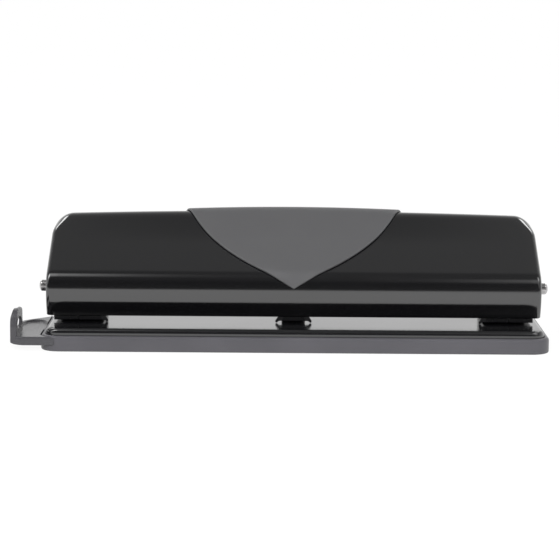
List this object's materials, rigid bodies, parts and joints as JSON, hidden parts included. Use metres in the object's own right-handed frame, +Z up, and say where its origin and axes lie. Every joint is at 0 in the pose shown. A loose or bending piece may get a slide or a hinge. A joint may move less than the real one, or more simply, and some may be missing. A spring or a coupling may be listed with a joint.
{
  "type": "three-hole punch",
  "caption": "Desk paper punch for three holes in a row, with a full-width lever, a side paper guide and a chad tray that pulls off.",
  "frame": {"origin": "on the table under the axis of the middle punch, in the plane of the tray's underside", "axes": "+X to the right along the lever and the row of holes, +Y from the paper side to the back, +Z up"},
  "size_m": [0.2844, 0.1014, 0.0684],
  "materials": {
    "black_steel": "semi-gloss black powder coat on pressed steel",
    "frame_steel": "black coated folded steel",
    "bright_steel": "plain bright steel",
    "dark_plastic": "dark grey satin moulded plastic",
    "dark_rubber": "dark grey soft-touch panel, satin",
    "nylon": "natural nylon"
  },
  "bodies": {
    "base": {"base_plate": "black_steel", "pivot_axle": "bright_steel", "left_axle_spacer": "nylon", "right_axle_spacer": "nylon", "left_pivot_bracket": "frame_steel", "right_pivot_bracket": "frame_steel", "left_punch_frame": "frame_steel", "centre_punch_frame": "frame_steel", "right_punch_frame": "frame_steel", "left_die": "bright_steel", "centre_die": "bright_steel", "right_die": "bright_steel", "left_spring": "bright_steel", "centre_spring": "bright_steel", "right_spring": "bright_steel", "left_frame_rivet_1": "bright_steel", "left_frame_rivet_2": "bright_steel", "centre_frame_rivet_1": "bright_steel", "centre_frame_rivet_2": "bright_steel", "right_frame_rivet_1": "bright_steel", "right_frame_rivet_2": "bright_steel", "left_bracket_rivet_1": "bright_steel", "left_bracket_rivet_2": "bright_steel", "right_bracket_rivet_1": "bright_steel", "right_bracket_rivet_2": "bright_steel"},
    "lever": {"lever_cover": "black_steel", "grip_panel": "dark_rubber", "pressure_bar": "bright_steel"},
    "left_punch": {"left_punch_pin": "bright_steel", "left_retaining_clip": "bright_steel"},
    "centre_punch": {"centre_punch_pin": "bright_steel", "centre_retaining_clip": "bright_steel"},
    "right_punch": {"right_punch_pin": "bright_steel", "right_retaining_clip": "bright_steel"},
    "tray": {"chad_tray": "dark_plastic"},
    "guide": {"paper_guide": "dark_plastic"}
  },
  "joints": [
    {"name": "lever_pivot", "type": "hinge", "parent": "base", "child": "lever", "pos_m": [0, -0.017, 0.0295], "axis": [-1, 0, 0], "range_deg": [0, 19.4]},
    {"name": "left_punch_slide", "type": "slide", "parent": "base", "child": "left_punch", "axis": [0, 0, -1], "range_m": [0, 0.0065], "stiffness_N_per_m": 1700, "springref_m": -0.003, "deforming": ["left_spring"]},
    {"name": "centre_punch_slide", "type": "slide", "parent": "base", "child": "centre_punch", "axis": [0, 0, -1], "range_m": [0, 0.0065], "stiffness_N_per_m": 1700, "springref_m": -0.003, "deforming": ["centre_spring"]},
    {"name": "right_punch_slide", "type": "slide", "parent": "base", "child": "right_punch", "axis": [0, 0, -1], "range_m": [0, 0.0065], "stiffness_N_per_m": 1700, "springref_m": -0.003, "deforming": ["right_spring"]},
    {"name": "tray_release", "type": "slide", "parent": "base", "child": "tray", "axis": [0, 0, -1], "range_m": [0, 0.03]},
    {"name": "guide_slide", "type": "slide", "parent": "tray", "child": "guide", "axis": [-1, 0, 0], "range_m": [0, 0.07]}
  ],
  "couplings": [
    {"joint": "left_punch_slide", "follows": "lever_pivot", "m_per_rad": 0.0188},
    {"joint": "centre_punch_slide", "follows": "lever_pivot", "m_per_rad": 0.0188},
    {"joint": "right_punch_slide", "follows": "lever_pivot", "m_per_rad": 0.0188}
  ]
}
